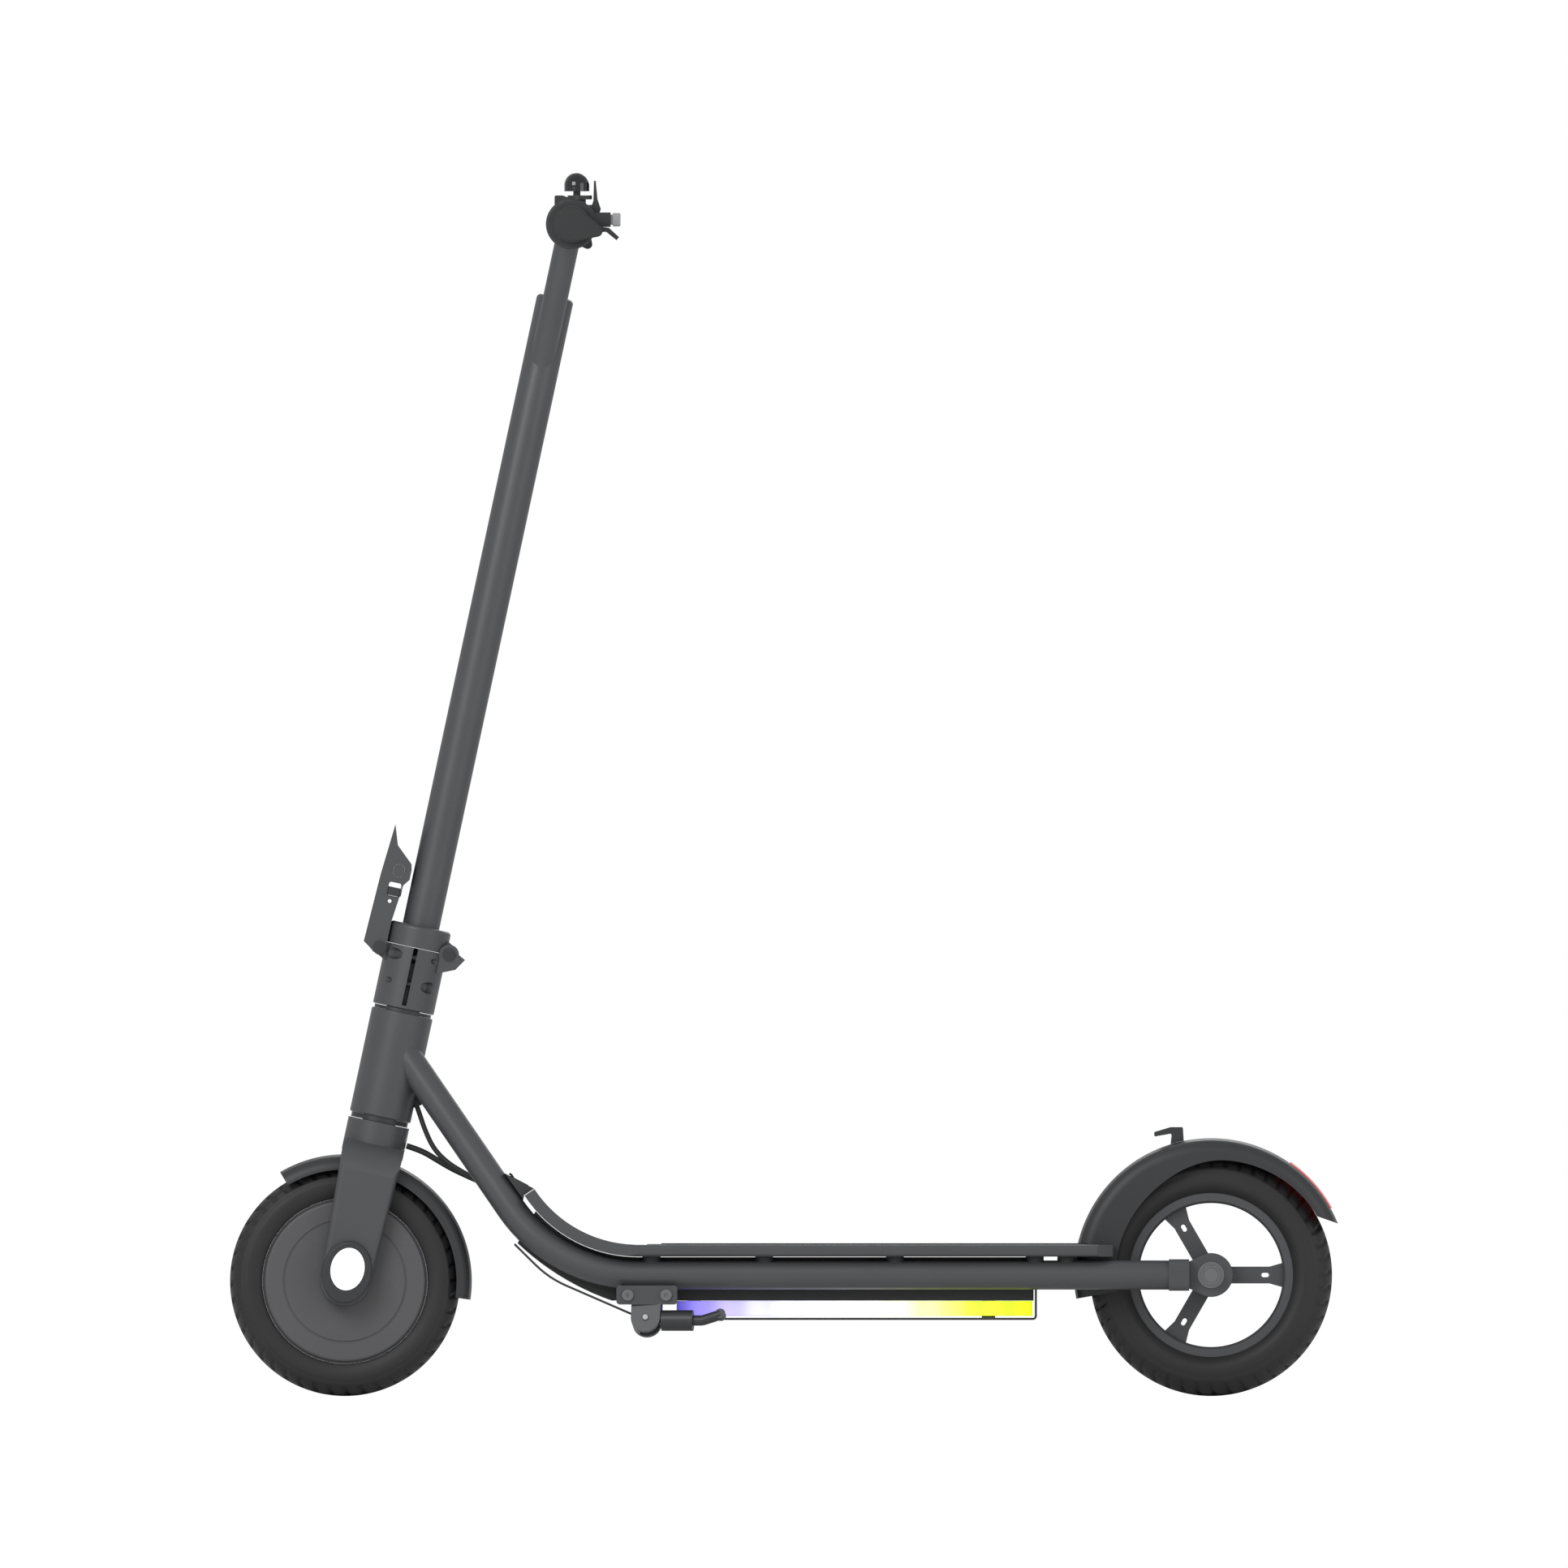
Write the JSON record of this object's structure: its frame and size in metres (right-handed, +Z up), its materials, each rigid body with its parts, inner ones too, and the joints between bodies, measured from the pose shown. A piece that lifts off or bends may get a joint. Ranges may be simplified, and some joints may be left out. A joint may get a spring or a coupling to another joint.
{
  "type": "electric kick scooter",
  "caption": "Folding electric kick scooter with a twin-tube frame, hub-motor front wheel, spoked rear wheel, folding stem, latch lever and kickstand.",
  "frame": {"origin": "on the floor, in the middle of the overall length and width", "axes": "+Z up, +X towards the rear wheel, -Y the left side with the kickstand"},
  "size_m": [0.9829, 0.4488, 1.0854],
  "materials": {
    "frame_paint": "satin",
    "black_plastic": "matt",
    "gloss_black": "gloss",
    "tyre_rubber": "matt",
    "grip_rubber": "matt",
    "mat_rubber": "matt",
    "zinc_steel": "brushed",
    "dark_steel": "satin",
    "aluminium": "satin",
    "motor_cover": "satin",
    "white_reflector": "gloss",
    "red_lens": "gloss",
    "light_diffuser": "gloss",
    "led_board": "matt",
    "battery_wrap": "gloss",
    "grey_plastic": "matt",
    "cable_jacket": "satin",
    "screen_glass": "gloss",
    "copper": "raw"
  },
  "bodies": {
    "frame": {"head_tube": "frame_paint", "frame_tubes": "frame_paint", "rear_frame_plates": "frame_paint", "cable_gland": "grip_rubber", "headset_bearings": "dark_steel", "deck_plate": "frame_paint", "deck_mat": "mat_rubber", "deck_front_cover": "black_plastic", "frame_spacers": "grip_rubber", "frame_screws": "zinc_steel", "battery_case": "black_plastic", "battery_pack": "battery_wrap", "motor_controller": "aluminium", "light_bars": "light_diffuser", "led_strips": "led_board", "skid_plate": "dark_steel", "kickstand_bracket": "frame_paint", "kickstand_pin": "zinc_steel", "rear_fender": "black_plastic", "fender_hook": "dark_steel", "tail_light_lens": "red_lens", "rear_axle_and_nuts": "zinc_steel", "control_cable": "cable_jacket", "motor_cable": "cable_jacket"},
    "rear_wheel": {"rear_wheel": "frame_paint", "rear_tyre": "tyre_rubber", "rear_bearings": "dark_steel"},
    "kickstand": {"kickstand_leg": "dark_steel"},
    "charge_cap": {"charge_cap": "grip_rubber"},
    "steering": {"fork": "frame_paint", "steerer_tube": "dark_steel", "dropout_covers": "black_plastic", "fork_reflectors": "white_reflector", "front_fender": "black_plastic", "motor_stator": "copper", "front_axle_and_nuts": "zinc_steel", "folding_base": "frame_paint", "steering_bolts": "dark_steel", "folding_pins": "dark_steel"},
    "front_wheel": {"front_tyre": "tyre_rubber", "motor_shell": "dark_steel", "motor_covers": "motor_cover", "front_bearings": "dark_steel"},
    "stem": {"stem_block": "frame_paint", "stem_tube": "frame_paint", "handlebar": "frame_paint", "handlebar_struts": "frame_paint", "handlebar_grips": "grip_rubber", "lever_housings": "black_plastic", "bell_base": "black_plastic", "bell_dome": "gloss_black", "display_pod": "black_plastic", "display_lens": "screen_glass", "fold_catch": "dark_steel"},
    "latch": {"latch_lever": "frame_paint"},
    "latch_safety": {"latch_safety": "black_plastic"},
    "brake_lever": {"brake_lever": "black_plastic"},
    "throttle_lever": {"throttle_lever": "black_plastic"},
    "bell_striker": {"bell_striker": "black_plastic"},
    "power_button": {"power_button": "grey_plastic"}
  },
  "joints": [
    {"name": "steering_turn", "type": "hinge", "parent": "frame", "child": "steering", "pos_m": [-0.34846, 0, 0.29366], "axis": [0.2093, 0, 0.9779], "range_deg": [-45, 45]},
    {"name": "front_wheel_spin", "type": "hinge", "parent": "steering", "child": "front_wheel", "pos_m": [-0.38948, 0, 0.102], "axis": [0, 1, 0], "continuous": true},
    {"name": "rear_wheel_spin", "type": "hinge", "parent": "frame", "child": "rear_wheel", "pos_m": [0.37882, 0, 0.1074], "axis": [0, 1, 0], "continuous": true},
    {"name": "stem_fold", "type": "hinge", "parent": "steering", "child": "stem", "pos_m": [-0.29725, 0, 0.39151], "axis": [0, 1, 0], "range_deg": [0, 92.4]},
    {"name": "latch_lever_swing", "type": "hinge", "parent": "steering", "child": "latch", "pos_m": [-0.35854, 0, 0.39849], "axis": [0, -1, 0], "range_deg": [0, 90]},
    {"name": "latch_safety_slide", "type": "slide", "parent": "latch", "child": "latch_safety", "axis": [0.2093, 0, 0.9779], "range_m": [0, 0.004]},
    {"name": "brake_lever_press", "type": "hinge", "parent": "stem", "child": "brake_lever", "pos_m": [-0.18878, -0.099, 1.03976], "axis": [0, 1, 0], "range_deg": [0, 25], "stiffness_Nm_per_rad": 0.4, "springref_deg": -5.73},
    {"name": "throttle_lever_press", "type": "hinge", "parent": "stem", "child": "throttle_lever", "pos_m": [-0.18878, 0.099, 1.03976], "axis": [0, 1, 0], "range_deg": [0, 25], "stiffness_Nm_per_rad": 0.4, "springref_deg": -5.73},
    {"name": "bell_striker_swing", "type": "hinge", "parent": "stem", "child": "bell_striker", "pos_m": [-0.16778, -0.068, 1.05276], "axis": [0, 1, 0], "range_deg": [-4, 25], "stiffness_Nm_per_rad": 0.02},
    {"name": "power_button_press", "type": "slide", "parent": "stem", "child": "power_button", "axis": [-1, 0, 0], "range_m": [0, 0.0015], "stiffness_N_per_m": 400, "springref_m": -0.0005},
    {"name": "kickstand_swing", "type": "hinge", "parent": "frame", "child": "kickstand", "pos_m": [-0.12208, -0.071, 0.067], "axis": [0.1119, 0.9326, -0.3431], "range_deg": [0, 84]},
    {"name": "charge_cap_hinge", "type": "hinge", "parent": "frame", "child": "charge_cap", "pos_m": [-0.24289, 0, 0.19688], "axis": [0, -1, 0], "range_deg": [0, 110]}
  ]
}
